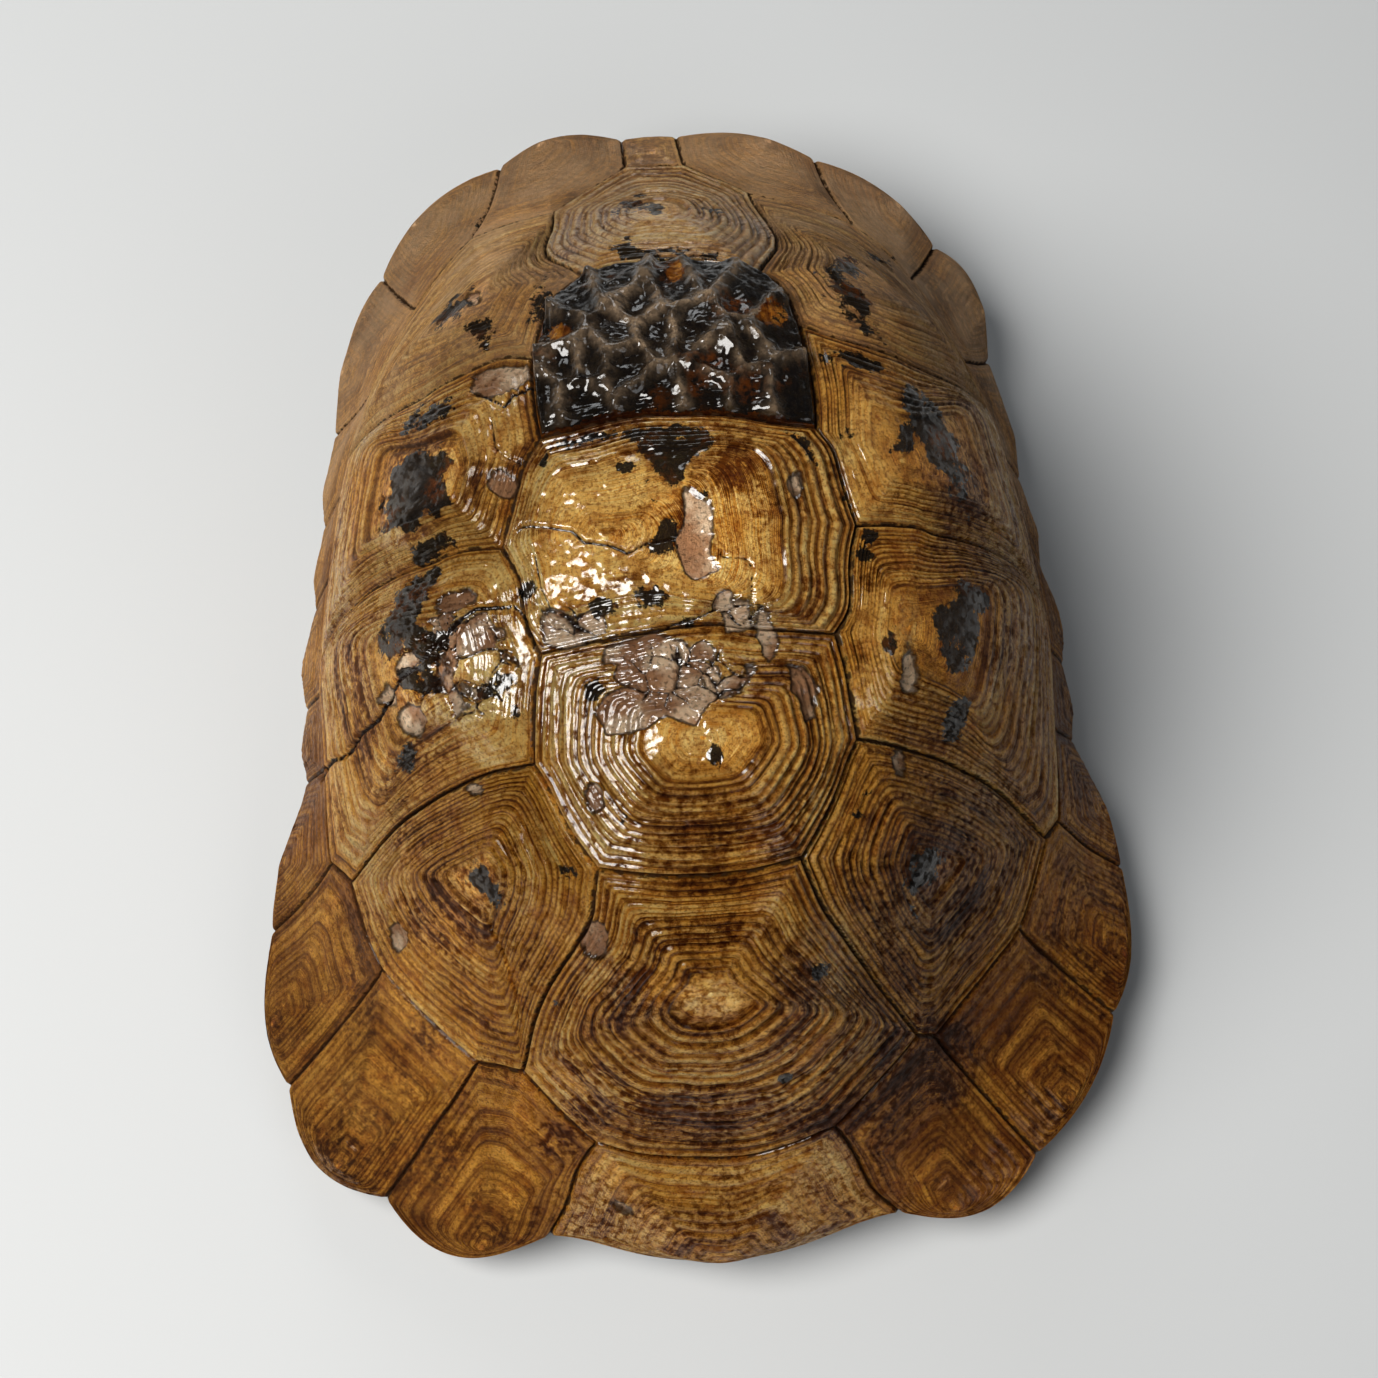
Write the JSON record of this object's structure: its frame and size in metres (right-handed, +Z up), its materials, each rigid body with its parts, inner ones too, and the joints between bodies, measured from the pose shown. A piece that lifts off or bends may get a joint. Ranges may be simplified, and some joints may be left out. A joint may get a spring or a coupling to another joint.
{
  "type": "tortoise shell",
  "caption": "Domed tortoise shell of bone under varnished horn scutes with growth rings, closed below by a flat belly plate, open at the neck, legs and tail.",
  "frame": {"origin": "on the ground, at the middle of the shell's plan box, under the plastron", "axes": "+Y towards the head end, +X towards the shell's right side with the head end pointing away from the viewer, +Z up out of the dome"},
  "size_m": [0.1756, 0.2368, 0.1172],
  "materials": {
    "varnished_horn": "brown and golden horn in fine growth rings, with black blotches, under a worn gloss varnish",
    "belly_horn": "yellow-brown horn with dark patches and soft growth rings, satin",
    "dry_bone": "dry cream-brown bone, matt and finely porous"
  },
  "bodies": {
    "root": {"carapace": "varnished_horn", "plastron": "belly_horn"}
  },
  "joints": []
}
